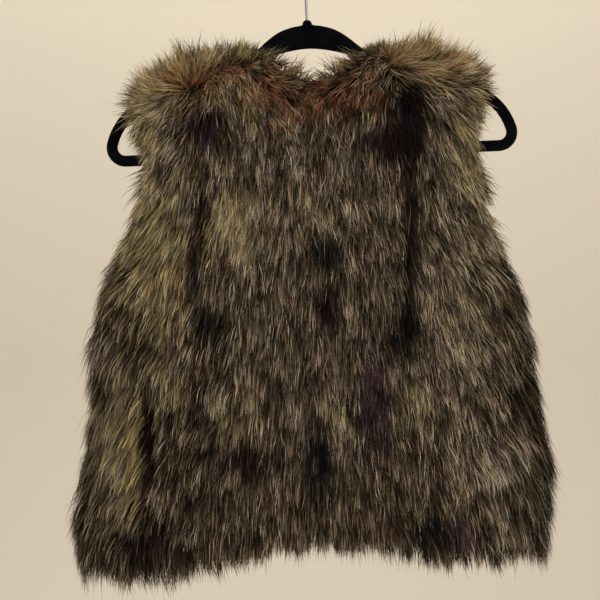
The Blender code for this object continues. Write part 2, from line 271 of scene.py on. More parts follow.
# The kinds of strand: the shares of its length where it bends, the last at its tip, how wide it
# is at each bend as a share, and its width in millimetres
Strand = namedtuple("Strand", "steps tapers wide")
STRANDS = {
    "fine": Strand((0.0, 0.5, 1.0), (1.0, 0.85), 0.94),
    "curved": Strand((0.0, 0.36, 0.72, 1.0), (1.0, 0.95, 0.6), 0.88),
}

# How the pile lies: where each guide's roots are on the back, the angle of the pile from straight
# down (positive to the right), how far it stands off the cloth, and its length as a share.
Guide = namedtuple("Guide", "x z angle lift long")
GUIDES = [
    # along the left shoulder, which is the middle of a whorl, and just below it
    Guide(-64, -104, 165, 46, 0.48),
    Guide(-84, -111, 172, 52, 0.78),
    Guide(-104, -119, -178, 52, 1.05),
    Guide(-126, -129, -168, 52, 1.14),
    Guide(-148, -138, -154, 50, 1.03),
    Guide(-168, -147, -128, 48, 0.84),
    Guide(-184, -155, -104, 46, 0.84),
    Guide(-70, -122, 20, 46, 0.75),
    Guide(-90, -132, 15, 46, 0.85),
    Guide(-110, -140, -5, 46, 0.90),
    Guide(-132, -150, -25, 44, 0.90),
    Guide(-152, -160, -42, 42, 0.90),
    Guide(-172, -170, -46, 42, 0.82),
    Guide(-182, -186, -36, 42, 0.72),
    Guide(-174, -208, -36, 42, 0.74),
    Guide(-176, -240, -44, 42, 0.94),
    Guide(-150, -205, -26, 34, 0.88),
    Guide(-110, -170, -2, 32, 0.84),
    Guide(-84, -160, 8, 32, 0.80),
    # the middle of the left whorl, where the pile stands up most
    Guide(-80, -116, 120, 62, 0.74),
    Guide(-98, -127, 20, 58, 0.88),
    Guide(-118, -132, 150, 60, 0.90),
    Guide(-143, -146, -70, 62, 0.90),
    # the back of the neck
    Guide(-50, -106, 146, 36, 0.68),
    Guide(-38, -118, 128, 34, 0.92),
    Guide(-24, -130, 146, 34, 0.80),
    Guide(-4, -133, 164, 38, 0.84),
    Guide(24, -133, -156, 34, 0.70),
    Guide(38, -124, -136, 32, 0.96),
    Guide(50, -112, -128, 34, 1.00),
    Guide(-42, -124, 90, 66, 0.62),
    Guide(-20, -139, 60, 64, 0.60),
    Guide(3, -142, 0, 62, 0.58),
    Guide(27, -140, -60, 64, 0.60),
    Guide(45, -122, -90, 66, 0.62),
    Guide(-50, -132, 10, 40, 0.70),
    Guide(-28, -150, 5, 38, 0.72),
    Guide(2, -155, 0, 36, 0.74),
    Guide(34, -150, -5, 38, 0.72),
    Guide(54, -132, -10, 40, 0.70),
    # along the right shoulder and just below it
    Guide(66, -97, -150, 44, 0.30),
    Guide(84, -102, 176, 48, 0.44),
    Guide(104, -107, 164, 54, 1.10),
    Guide(126, -114, 150, 54, 1.22),
    Guide(148, -121, 138, 52, 1.14),
    Guide(168, -128, 124, 48, 0.90),
    Guide(186, -134, 106, 46, 0.70),
    Guide(72, -116, -25, 46, 0.75),
    Guide(92, -124, 6, 44, 0.85),
    Guide(114, -130, 26, 44, 0.90),
    Guide(136, -138, 40, 44, 0.92),
    Guide(156, -144, 50, 42, 0.84),
    Guide(172, -150, 46, 42, 0.70),
    Guide(182, -164, 34, 42, 0.60),
    Guide(182, -192, 32, 42, 0.60),
    Guide(186, -228, 36, 42, 0.80),
    Guide(160, -192, 24, 34, 0.86),
    Guide(130, -165, 10, 32, 0.84),
    Guide(96, -150, -4, 32, 0.80),
    # the middle of the right whorl
    Guide(79, -109, -90, 68, 0.62),
    Guide(98, -115, 108, 50, 0.94),
    Guide(120, -122, 92, 48, 0.98),
    Guide(142, -129, 84, 48, 0.94),
    # the body, from the left edge to the right one
    Guide(-200, -300, -42, 40, 0.84),
    Guide(-160, -260, -20, 31, 0.82),
    Guide(-120, -240, -2, 30, 0.76),
    Guide(-60, -200, 2, 30, 0.74),
    Guide(0, -200, 0, 30, 0.74),
    Guide(60, -200, 0, 30, 0.74),
    Guide(120, -240, 2, 30, 0.76),
    Guide(165, -270, 22, 33, 0.82),
    Guide(206, -296, 40, 42, 0.84),
    Guide(-216, -325, -44, 46, 1.48),
    Guide(-226, -385, -44, 42, 1.12),
    Guide(-180, -380, -28, 31, 0.84),
    Guide(-130, -360, -6, 30, 0.76),
    Guide(-50, -360, 0, 29, 0.74),
    Guide(50, -360, 0, 29, 0.74),
    Guide(130, -360, 2, 30, 0.76),
    Guide(190, -360, 24, 32, 0.84),
    Guide(218, -340, 40, 47, 1.45),
    Guide(226, -380, 42, 44, 1.20),
    Guide(232, -425, 42, 42, 1.04),
    Guide(-236, -470, -48, 42, 1.24),
    Guide(-190, -470, -36, 30, 1.02),
    Guide(-140, -470, -8, 30, 0.76),
    Guide(-50, -480, 0, 29, 0.74),
    Guide(50, -480, 0, 29, 0.74),
    Guide(140, -470, 2, 30, 0.76),
    Guide(200, -460, 18, 32, 0.84),
    Guide(236, -470, 36, 44, 1.34),
    Guide(246, -520, 38, 50, 1.50),
    Guide(-245, -580, -44, 42, 1.24),
    Guide(-200, -580, -30, 29, 1.05),
    Guide(-140, -590, -8, 30, 0.80),
    Guide(-50, -600, 0, 28, 0.80),
    Guide(50, -600, 0, 28, 0.80),
    Guide(140, -590, 2, 30, 0.80),
    Guide(200, -580, 8, 32, 0.86),
    Guide(250, -580, 36, 46, 1.26),
    Guide(-194, -650, 8, 36, 0.80),
    Guide(-150, -652, 28, 36, 0.95),
    Guide(-100, -645, 24, 34, 0.88),
    Guide(206, -640, 18, 34, 0.84),
    Guide(-238, -636, -30, 40, 1.22),
]
GUIDE_NEAR = 9.0  # guides closer than this share a place evenly

# The pile's colours: each family's colour at a strand's root and at its tip
Family = namedtuple("Family", "name root tip")
FAMILIES = [
    Family("tan", (0.036, 0.023, 0.012), (0.56, 0.43, 0.28)),
    Family("grey", (0.036, 0.025, 0.015), (0.58, 0.48, 0.36)),
    Family("olive", (0.060, 0.042, 0.014), (0.54, 0.43, 0.20)),
    Family("brown", (0.040, 0.022, 0.012), (0.32, 0.195, 0.10)),
    Family("red", (0.060, 0.020, 0.011), (0.38, 0.15, 0.08)),
    Family("dark", (0.012, 0.006, 0.003), (0.075, 0.046, 0.024)),
    Family("purple", (0.017, 0.008, 0.011), (0.110, 0.068, 0.072)),
    Family("green", (0.010, 0.012, 0.010), (0.054, 0.056, 0.046)),
    # fair and rust strands have light roots: on the shoulders this is partly painted light, which
    # fills in the shade between the strands
    Family("fair", (0.26, 0.185, 0.085), (0.45, 0.35, 0.18)),
    Family("rust", (0.24, 0.115, 0.052), (0.44, 0.26, 0.135)),
    Family("taupe", (0.12, 0.095, 0.06), (0.45, 0.36, 0.245)),
]
FAMILY_AT = {family.name: k for k, family in enumerate(FAMILIES)}
BASE_MIX = {"tan": 0.24, "grey": 0.26, "brown": 0.13, "dark": 0.37}
DARKEST, TONE_RANGE = 0.18, 15.0  # a tone's factor goes from DARKEST to TONE_RANGE times that
BRIGHTEST = (0.82, 0.74, 0.60)
TOP_TONE = 0.999  # below 1, where the next family starts

# Families whose strands are nearly one tone: the tone, and how far they are drawn to it
# drawing fair and rust to one tone also paints out the shade between their strands on the shoulders
SOFT_FAMILIES, SOFT_TONE, SOFT_SHARE = ("fair", "rust", "taupe"), 0.62, 0.55

# How a strand's colour runs from its root's to its tip's, and where a ribbon's sides, its tip and
# its ends lie in its tone's strip of the map
ROOT_TO_TIP = [(0.0, 0.0), (0.35, 0.08), (0.55, 0.35), (0.8, 0.9), (1.0, 1.0)]
RIBBON_SIDES, RIBBON_TIP = (0.25, 0.75), 0.5
MAP_ENDS = (0.02, 0.98)

# Where the fur's colour changes: the middle of each patch, half its width and height, the share
# of the strands there that it colours, what it adds to their tone, which runs from 0 to 1, and
# the families that they take.
Patch = namedtuple("Patch", "x z wide high share tone colours")
PATCHES = [
    # light patches, tan and olive; on the shoulders partly painted light
    Patch(-78, -291, 29, 38, 0.88, 0.32, "olive fair tan"),
    Patch(-172, -340, 45, 96, 0.86, 0.20, "olive fair olive tan"),
    Patch(-152, -470, 22, 34, 0.6, 0.12, "olive tan"),
    Patch(-76, -492, 24, 26, 0.6, 0.10, "olive tan"),
    Patch(-216, -545, 40, 96, 0.9, 0.28, "taupe taupe olive"),
    Patch(-250, -560, 16, 110, 0.5, -0.20, "dark taupe"),
    Patch(-191, -552, 8, 56, 0.9, 0.42, "olive fair"),
    Patch(120, -486, 22, 34, 0.6, 0.10, "olive tan"),
    Patch(202, -546, 42, 44, 0.6, 0.21, "tan tan grey"),
    Patch(224, -622, 24, 18, 0.6, 0.18, "tan tan grey"),
    Patch(183, -394, 36, 60, 0.6, 0.14, "olive tan tan"),
    Patch(160, -430, 46, 150, 0.4, 0.13, "tan tan grey"),
    Patch(200, -300, 24, 40, 0.6, 0.14, "olive tan"),
    Patch(28, -492, 22, 26, 0.5, 0.06, "olive tan"),
    Patch(17, -274, 24, 20, 0.5, 0.08, "olive tan"),
    # the shoulders: partly their own fair and rust colour, partly painted light, made lighter as
    # their tops are lit from above, with the shade between the strands filled in
    Patch(-140, -125, 66, 34, 0.97, 0.37, "fair fair olive"),
    Patch(134, -104, 76, 32, 0.98, 0.25, "fair fair fair rust"),
    Patch(-60, -106, 30, 18, 0.9, 0.04, "fair olive"),
    Patch(4, -126, 62, 18, 0.92, 0.02, "fair fair rust"),
    Patch(-58, -162, 12, 22, 0.7, 0.16, "olive"),
    Patch(-180, -190, 24, 80, 0.85, 0.12, "fair olive tan"),
    Patch(182, -190, 26, 80, 0.85, 0.14, "fair olive tan"),
    # reddish brown
    Patch(-122, -129, 40, 18, 0.85, 0.06, "rust rust red"),
    Patch(14, -152, 74, 25, 0.85, 0.08, "red brown"),
    Patch(-40, -134, 24, 16, 0.7, -0.02, "red rust"),
    Patch(-78, -120, 26, 14, 0.7, 0.14, "rust rust red"),
    Patch(158, -108, 30, 14, 0.35, 0.0, "rust"),
    # dark patches and the partings along the seams
    Patch(110, -186, 17, 44, 1.0, -0.90, "purple green dark"),
    Patch(86, -200, 24, 18, 0.9, -0.20, "purple purple dark"),
    Patch(-113, -188, 22, 22, 0.9, -0.16, "purple purple dark"),
    Patch(24, -326, 15, 26, 0.88, -0.12, "green green dark"),
    Patch(22, -380, 14, 24, 0.95, -0.22, "purple purple dark"),
    Patch(-106, -400, 16, 20, 0.95, -0.12, "green green dark"),
    Patch(104, -408, 14, 28, 0.98, -0.50, "dark green green"),
    Patch(71, -476, 18, 60, 0.95, 0.08, "purple purple purple dark"),
    Patch(-64, -543, 24, 20, 0.8, -0.2, "purple dark"),
    Patch(12, -550, 17, 34, 0.9, -0.22, "green green purple"),
    Patch(-184, -421, 14, 16, 0.6, -0.1, "dark"),
    Patch(-222, -481, 12, 18, 0.6, -0.1, "dark"),
    Patch(-174, -528, 7, 44, 1.0, -1.05, "red dark purple"),
    Patch(-183, -642, 44, 22, 0.65, -0.12, "purple dark"),
    Patch(133, -624, 14, 22, 0.95, -0.25, "green green dark"),
    Patch(165, -628, 26, 16, 0.9, 0.24, "purple purple purple dark"),
    Patch(256, -520, 13, 130, 0.4, -0.04, "dark"),
    Patch(90, -610, 22, 16, 0.8, 0.02, "purple brown"),
    Patch(-122, -334, 6, 36, 0.85, -0.24, "purple purple dark"),
    Patch(-113, -290, 7, 50, 0.6, -0.10, "dark"),
    Patch(112, -310, 7, 70, 0.95, -0.30, "purple dark"),
    Patch(-20, -430, 150, 160, 0.12, 0.04, "tan grey"),
]

# On the front the patches between these heights, and this far from its middle, are turned half
# round, so it has its own pattern. Its strips round the sides keep the back's.
UNTURNED, TURNED_HEM, TURNED_WITHIN = -225.0, -655.0, 205.0
TURNED_RAGGED = 8.0  # how uneven the border with the strips is

# How fast a patch fades out and how hard its edge is, and how far tufts take its colour whole
PATCH_FADE, PATCH_EDGE = 0.7, 1.5
TUFT_SHARE = 0.4

# The panels: the share of the width where the armhole's edge is, the columns that each is worked
# out in, and its strands
Panel = namedtuple("Panel", "name armhole columns strands kind")
PANELS = [
    Panel("back_side_left", 0, 8, 34000, "curved"),
    Panel("back_centre", None, 18, 66000, "fine"),
    Panel("back_side_right", 1, 8, 34000, "curved"),
    Panel("front_left", 1, 22, 66000, "fine"),
    Panel("front_right", 0, 20, 66000, "fine"),
]

# Each panel's cut: the flat piece's width, length and area, in metres and square metres
Cut = namedtuple("Cut", "name width length area")


# Reading the tables


def along(table, column, place):
    """A column of a table at a place between its rows, on a smooth curve through them."""
    at = np.array([row[0] for row in table], float)
    value = np.array([getattr(row, column) for row in table], float)
    slope = np.gradient(value, at)
    i = int(np.clip(np.searchsorted(at, place) - 1, 0, len(at) - 2))
    step = at[i + 1] - at[i]
    s = min(max((place - at[i]) / step, 0.0), 1.0)
    start = (1 + 2 * s) * (1 - s) ** 2 * value[i] + s * (1 - s) ** 2 * step * slope[i]
    end = s * s * (3 - 2 * s) * value[i + 1] + s * s * (s - 1) * step * slope[i + 1]
    return start + end


def eased(value):
    """A smooth step from 0 to 1."""
    s = min(max(value, 0.0), 1.0)
    return s * s * (3 - 2 * s)


def mixed(start, end, share):
    return start + (end - start) * share


# The garment's section at one height


Section = namedtuple("Section", "middle half hollow wall least inset")


@lru_cache(maxsize=None)
def section(z):
    """The sizes of the garment's section at one height."""
    left, right = along(SIDES, "left", z), along(SIDES, "right", z)
    depths = (along(DEPTHS, column, z) for column in Depth._fields[1:])
    return Section((left + right) / 2, (right - left) / 2, *depths)


def squared(value):
    return np.copysign(np.abs(value) ** SECTION_POWER, value)


def angle_at(x, z):
    """The angle round the section, from the back's middle, of a place on the back."""
    share = np.clip((x - section(z).middle) / section(z).half, -1.0, 1.0)
    return math.asin(math.copysign(abs(share) ** (1 / SECTION_POWER), share))


def outer_x(angle, z):
    return section(z).middle + section(z).half * squared(np.sin(angle))


def inner_x(angle, z):
    sizes = section(z)
    return sizes.middle + (sizes.half - sizes.wall * sizes.inset) * squared(np.sin(angle))


def half_depths(angle, z):
    """How far the outer and the inner face lie from the hanger's plane."""
    deep = np.abs(squared(np.cos(angle)))
    inner = np.maximum(section(z).hollow * deep, section(z).least)
    return inner + section(z).wall * deep, inner


def fold_rise(angle, x, z):
    """How far the folds lift the outer face at a place."""
    total = 0.0
    for fold in BACK_FOLDS if math.cos(angle) > 0 else FRONT_FOLDS:
        reach = eased((fold.top - z) / FOLD_START) * eased((z - fold.bottom) / FOLD_END)
        total += fold.rise * reach * math.exp(-(((x - fold.x) / fold.width) ** 2))
    return total * abs(math.cos(angle))


# The panels' edges, as angles round the section


def side_edge(z, side, on_front):
    """The armhole's edge, and below it the side seam."""
    if z < UNDERARM:
        return math.radians(along(SIDE_SEAMS, side, z))
    edge = angle_at(along(ARMHOLES, side, z), z)
    if on_front:
        return math.copysign(math.pi, edge) - edge
    return edge


def princess_edge(z, side):
    return angle_at(along(PRINCESS_SEAMS, side, z), z)


def edges_of(name):
    """A panel's two edges, each an angle for a height."""
    return {
        "back_side_left": (
            lambda z: side_edge(z, "left", False),
            lambda z: princess_edge(z, "left"),
        ),
        "back_centre": (
            lambda z: princess_edge(z, "left"),
            lambda z: princess_edge(z, "right"),
        ),
        "back_side_right": (
            lambda z: princess_edge(z, "right"),
            lambda z: side_edge(z, "right", False),
        ),
        "front_left": (lambda z: -math.pi, lambda z: side_edge(z, "left", True)),
        "front_right": (lambda z: side_edge(z, "right", True), lambda z: math.pi),
    }[name]


def angle_between(first, last, share, z):
    """The angle at a share of the way, by length, from one edge of a panel to the other."""
    angles = np.linspace(first, last, SECTION_STEPS)
    across, deep = outer_x(angles, z), half_depths(angles, z)[0] * np.sign(np.cos(angles))
    length = np.concatenate([[0], np.cumsum(np.hypot(np.diff(across), np.diff(deep)))])
    wanted = mixed(SEAM_CLEARANCE, length[-1] - SEAM_CLEARANCE, share)
    return float(np.interp(wanted, length, angles))


# The top of a column, at the neck or over the shoulder


def hanger_top(x):
    """The height of the tilted hanger's top edge along its arms."""
    side = math.copysign(1, x)
    tilt = math.radians(HANGER_TILT)
    start_x = side * ARM_START[0] * math.cos(tilt) - ARM_START[1] * math.sin(tilt)
    start_z = side * ARM_START[0] * math.sin(tilt) + ARM_START[1] * math.cos(tilt)
    slope = math.tan(math.radians(ARM_SLOPE) - side * tilt)
    return start_z - slope * abs(x - start_x)


def closing(x):
    return eased((abs(x - NECK_MIDDLE) - NECK_OPEN) / (NECK_CLOSED - NECK_OPEN))


def top_of_wall(x, on_front):
    """The height where the straight wall ends and the curve over the hanger starts."""
    neck = along(FRONT_NECK if on_front else BACK_NECK, "z", x)
    return mixed(neck, hanger_top(x + VEST_SIDE) - SEAT_DEPTH, min(SEATED_SOONER * closing(x), 1.0))


class Column:
    """One column of a panel, from its top edge down to the hem."""

    def __init__(self, edges, share):
        self.edges, self.share = edges, share
        self.on_front = abs(self.angle(SHOULDER_LEVEL)) > math.pi / 2
        self.start = (self.wall_top(outer_x), self.wall_top(inner_x))
        top_angle = self.angle(self.start[0])
        outer = outer_x(top_angle, self.start[0])
        self.open = 1 - closing(outer)
        self.roll = math.pi / 2 * closing(outer)
        self.rise = (
            along(SHOULDERS, "z", outer) - self.start[0],
            SEAT_DEPTH + SEAT_CLEARANCE,
        )
        hem_angle = self.angle(HEM_LEVEL)
        hem = BACK_HEM if abs(hem_angle) < math.pi / 2 else FRONT_HEM
        self.hem = along(hem, "z", outer_x(hem_angle, HEM_LEVEL))
        roll_length = self.roll * (self.rise[0] + half_depths(top_angle, self.start[0])[0]) / 2
        self.roll_share = roll_length / (roll_length + self.start[0] - self.hem)

    def angle(self, z):
        first, last = (edge(z) for edge in self.edges)
        return angle_between(first, last, self.share, z)

    def points(self, place):
        """The outer and the inner point at a share of the column's length."""
        if place < self.roll_share:
            return self.over_hanger(self.roll * (1 - place / self.roll_share))
        return self.down_wall((place - self.roll_share) / (1 - self.roll_share))

    def wall_top(self, across):
        """The height of a face's wall top, which depends on where across the face is there."""
        z = SHOULDER_LEVEL
        for _ in range(SETTLING_STEPS):
            z = top_of_wall(float(across(self.angle(z), z)), self.on_front)
        return z

    def over_hanger(self, turn):
        side = 1 if self.on_front else -1
        found = []
        for k, across in enumerate((outer_x, inner_x)):
            angle = self.angle(self.start[k])
            deep = half_depths(angle, self.start[k])[k] * math.cos(turn)
            y = side * max(deep, SEAM_CLEARANCE)
            z = self.start[k] + self.rise[k] * math.sin(turn)
            found.append((across(angle, self.start[k]), y, z))
        return found

    def down_wall(self, share):
        z = mixed(self.start[0], self.hem, share)
        inner_z = mixed(self.start[1], self.hem + CLOTH_INSIDE_PILE, share)
        angle, inner_angle = self.angle(z), self.angle(inner_z)
        x = outer_x(angle, z)
        rise = fold_rise(angle, x, z)
        outer_y = half_depths(angle, z)[0] + rise
        inner_y = half_depths(inner_angle, inner_z)[1] + INNER_FOLD * rise * (z < UNDERARM)
        outer_side, inner_side = (-1 if math.cos(a) > 0 else 1 for a in (angle, inner_angle))
        inner_point = (inner_x(inner_angle, inner_z), inner_side * inner_y, inner_z)
        return [(x, outer_side * outer_y, z), inner_point]


# The cloth's surface under the pile


def read_grid(grid, u, v):
    """A grid's values at places counted in columns and rows, between its points."""
    i = np.clip(np.floor(u).astype(int), 0, grid.shape[0] - 2)
    j = np.clip(np.floor(v).astype(int), 0, grid.shape[1] - 2)
    a, b = (u - i)[..., None], (v - j)[..., None]
    top = grid[i, j] * (1 - a) + grid[i + 1, j] * a
    low = grid[i, j + 1] * (1 - a) + grid[i + 1, j + 1] * a
    return top * (1 - b) + low * b


def unit(vectors):
    return vectors / np.maximum(np.linalg.norm(vectors, axis=-1, keepdims=True), TINY)


def steps_along(grid, axis):
    return np.linalg.norm(np.diff(grid, axis=axis), axis=-1)


def surface(panel):
    """The cloth's inner and the pile's outer points, in columns and rows, inside the margins."""
    places = np.concatenate(
        [
            np.linspace(0, ROLL_SHARE, ROLL_ROWS, endpoint=False),
            np.linspace(ROLL_SHARE, 1, WALL_ROWS),
        ]
    )
    columns = [Column(edges_of(panel.name), k / panel.columns) for k in range(panel.columns + 1)]
    pairs = np.array([[column.points(place) for place in places] for column in columns])
    outer, inner = pairs[:, :, 0], pairs[:, :, 1]
    rows = len(places)
    u, v = np.meshgrid(np.arange(panel.columns + 1.0), np.arange(float(rows)), indexing="ij")
    down = steps_along(outer, 1)
    neck = NECK_MARGIN * np.array([column.open for column in columns]) / down[:, 1]
    hem = HEM_MARGIN / down[:, -1]
    v = neck[:, None] + v * (1 - (neck + hem)[:, None] / (rows - 1))
    if panel.armhole is not None:
        wide = steps_along(outer, 0).sum(axis=0)
        edge = outer[0 if panel.armhole == 0 else -1]
        margin = ARMHOLE_MARGIN * np.clip((edge[:, 2] - UNDERARM) / MARGIN_RISE, 0, 1) / wide
        u = u * (1 - margin) + (panel.columns * margin if panel.armhole == 0 else 0)
    beside = np.array((VEST_SIDE, 0, 0))
    return read_grid(inner, u, v) + beside, read_grid(outer, u, v) + beside


def new_object(name, data, look):
    made = bpy.data.objects.new(name, data)
    data.materials.append(look)
    bpy.context.scene.collection.objects.link(made)
    return made


def backing(panel, inner, out, look):
    """The cloth under a panel's pile, a closed sheet."""
    outer = inner + out * CLOTH_THICK
    columns, rows = inner.shape[:2]
    mesh = bmesh.new()
    sheets = [[[mesh.verts.new(p * MM) for p in line] for line in face] for face in (outer, inner)]
    for sheet in sheets:
        for k in range(columns - 1):
            for j in range(rows - 1):
                mesh.faces.new((sheet[k][j], sheet[k + 1][j], sheet[k + 1][j + 1], sheet[k][j + 1]))
    rim = [[(k, j) for j in range(rows)] for k in (0, columns - 1)]
    rim += [[(k, j) for k in range(columns)] for j in (0, rows - 1)]
    far, near = sheets
    for line in rim:
        for (k, j), (m, n) in zip(line, line[1:]):
            mesh.faces.new((far[k][j], far[m][n], near[m][n], near[k][j]))
    bmesh.ops.recalc_face_normals(mesh, faces=mesh.faces)
    data = bpy.data.meshes.new("cloth_" + panel.name)
    mesh.to_mesh(data)
    mesh.free()
    data.shade_smooth()
    data.set_sharp_from_angle(angle=math.radians(CLOTH_SHARP))
    return new_object("cloth_" + panel.name, data, look)


# The pile


def waves(x, z, field):
    """A soft random field over the garment, about -1 to 1."""
    x, z = x * field.narrow, z / field.tall
    found = np.zeros_like(x)
    rng = np.random.default_rng(field.seed)
    for _ in range(WAVES_IN_FIELD):
        turn, phase = rng.uniform(0, 2 * math.pi, 2)
        pace = 2 * math.pi / (field.scale * rng.uniform(*WAVE_LENGTHS))
        found += np.sin(pace * (x * math.cos(turn) + z * math.sin(turn)) + phase)
    return found / WAVES_HEIGHT


def summed(x, z, fields):
    return sum(field.size * waves(x, z, field) for field in fields)


def guided(x, z):
    """The pile's angle from straight down, its lift and its length at places."""
    total = np.zeros((len(x), 4))
    sums = np.zeros(len(x))
    for guide in GUIDES:
        weight = 1 / ((x - guide.x) ** 2 + (z - guide.z) ** 2 + GUIDE_NEAR**2) ** 2
        angle = math.radians(guide.angle)
        row = np.array((math.sin(angle), math.cos(angle), guide.lift, guide.long))
        total += weight[:, None] * row
        sums += weight
    lift, long = total[:, 2] / sums, total[:, 3] / sums
    return np.arctan2(total[:, 0], total[:, 1]), np.radians(lift), long


def tuft_places(rng, count, middle):
    """Even random places over a surface, counted in columns and rows."""
    across = np.diff(middle, axis=0)[:, :-1]
    down = np.diff(middle, axis=1)[:-1]
    area = np.linalg.norm(np.cross(across, down), axis=-1)
    sums = np.cumsum(area.ravel())
    cell = np.searchsorted(sums, (np.arange(count) + rng.random(count)) / count * sums[-1])
    cell = np.minimum(cell, area.size - 1)
    i, j = np.unravel_index(cell, area.shape)
    return i + rng.random(count), j + rng.random(count)


def reflected(value, top):
    value = np.abs(value)
    return np.where(value > top, 2 * top - value, value)


def tones(rng, x, z, tuft, own_tone, on_front):
    """Each strand's tone: its family, and how bright it is in it from 0 to 1."""
    count = len(x)
    shares = np.array(list(BASE_MIX.values()))
    family = rng.choice([FAMILY_AT[name] for name in BASE_MIX], count, p=shares / shares.sum())
    tuft_chance = rng.random(tuft.max() + 1)[tuft]
    ragged = summed(x, z, RAGGED)
    tone = own_tone.copy()
    turned = on_front & (np.abs(x) + TURNED_RAGGED * ragged < TURNED_WITHIN) & (z < UNTURNED)
    turned_x, turned_z = np.where(turned, -x, x), np.where(turned, UNTURNED + TURNED_HEM - z, z)
    for patch in PATCHES:
        near = ((turned_x - patch.x) / patch.wide) ** 2 + ((turned_z - patch.z) / patch.high) ** 2
        near = np.maximum(near + ragged * np.sqrt(near), 0)
        inside = np.exp(-PATCH_FADE * near**PATCH_EDGE)
        chance = TUFT_SHARE * tuft_chance + (1 - TUFT_SHARE) * rng.random(count)
        choices = [FAMILY_AT[name] for name in patch.colours.split()]
        taken = chance < patch.share * inside
        family = np.where(taken, rng.choice(choices, count), family)
        tone += patch.tone * inside
    soft = np.isin(family, [FAMILY_AT[name] for name in SOFT_FAMILIES])
    tone = np.where(soft, mixed(tone, SOFT_TONE, SOFT_SHARE), tone)
    return family, np.clip(tone, 0.0, TOP_TONE)


# Grids over the cloth that strands stand on, where each strand stands on it, and how it lies
Ground = namedtuple("Ground", "base out down deep")
Feet = namedtuple("Feet", "root away down side deep")
Lay = namedtuple("Lay", "angle lift long curl room")


def feet_at(ground, u, v):
    """The strands' roots, the ways off, down and across the cloth there, and the pile's depth."""
    root = read_grid(ground.base, u, v)
    away = unit(read_grid(ground.out, u, v))
    down = read_grid(ground.down, u, v)
    down = unit(down - (down * away).sum(-1, keepdims=True) * away)
    side = np.cross(away, down)
    side *= np.copysign(1, side[:, :1])
    return Feet(root, away, down, side, read_grid(ground.deep, u, v)[:, 0])


def tuft_lay(rng, feet):
    """How the tufts lie, by the guides and with differences of their own, and how wild they are."""
    x, z = feet.root[:, 0] - VEST_SIDE, feet.root[:, 2]
    tufts = len(x)
    angle, lift, long = guided(x, z)
    wild = np.maximum(np.degrees(lift) - CALM_LIFT, 0) / WILD_LIFT
    turning = np.radians(TURNING.size) * waves(x, z, TURNING)
    angle += turning + np.radians(WILD_TURNING.size) * wild * waves(x, z, WILD_TURNING)
    angle += np.radians(TUFT_TURN) * wild * rng.normal(0, 1, tufts)
    lift *= 1 + LIFTING.size * waves(x, z, LIFTING) + TUFT_LIFT * rng.normal(0, 1, tufts)
    longer = 1 + LENGTHENING.size * waves(x, z, LENGTHENING)
    long *= STRAND_LONG * longer * rng.uniform(*TUFT_LENGTHS, tufts)
    wildness = np.minimum(wild, WILDEST)
    curl = BODY_CURL - CURL_EASE * wildness
    room = BODY_ROOM + ROOM_GAIN * wildness
    return Lay(angle, lift, long, curl, room), wild


def strand_lay(rng, lay, wild):
    """How the strands lie, by their tufts and with differences of their own."""
    count = len(wild)
    angle = lay.angle + np.radians(STRAND_TURN) * wild * rng.normal(0, 1, count)
    lift = lay.lift * (1 + STRAND_LIFT * rng.normal(0, 1, count))
    long = lay.long * rng.uniform(*STRAND_LENGTHS, count)
    wisp = rng.random(count) < WISP_SHARE * (1 + WISP_GAIN * wild)
    long *= np.where(wisp, WISP_LONG, 1)
    curl = np.maximum(lay.curl * rng.uniform(*STRAND_CURLS, count), 1)
    room = lay.room * rng.uniform(*STRAND_ROOMS, count) * np.where(wisp, WISP_ROOM, 1)
    return Lay(angle, lift, long, curl, room)


def paths(feet, lay, steps):
    """The strands' points: off the cloth first, and then more and more along it."""
    slant = np.arctan2(feet.down[:, 0], -feet.down[:, 2]) * np.abs(feet.away[:, 1])
    turn = (lay.angle - slant) * feet.side[:, 0]
    onward = np.cos(turn)[:, None] * feet.down + np.sin(turn)[:, None] * feet.side
    high = np.minimum(lay.long * np.sin(lay.lift), lay.room * feet.deep + ROOM_LEAST)
    far = np.sqrt(np.maximum(lay.long**2 - high**2, REACH_LEAST))
    points = []
    for s in steps:
        up = high * (1 - (1 - s) ** lay.curl)
        on = far * s**REACH_POWER
        sag = np.array((0, 0, -SAG)) * s * s
        points.append(feet.root + up[:, None] * feet.away + on[:, None] * onward + sag)
    return np.stack(points, axis=1)


def ribbons(rng, path, away, strand):
    """The strands' points as tapered ribbons: two at each bend and one at the tip."""
    count = len(path)
    heading = unit(np.gradient(path, axis=1))
    twist = np.radians(TWIST) * rng.uniform(-1, 1, count)
    flat = unit(np.cross(heading, away[:, None, :]))
    edge = np.cross(heading, flat)
    across = np.cos(twist)[:, None, None] * flat + np.sin(twist)[:, None, None] * edge
    wide = strand.wide * rng.uniform(*STRAND_WIDTHS, count)
    points = np.zeros((count, 2 * len(strand.tapers) + 1, 3), np.float32)
    for k, taper in enumerate(strand.tapers):
        half = (wide * taper / 2)[:, None] * across[:, k]
        points[:, 2 * k] = path[:, k] - half
        points[:, 2 * k + 1] = path[:, k] + half
    points[:, -1] = path[:, -1]
    return points


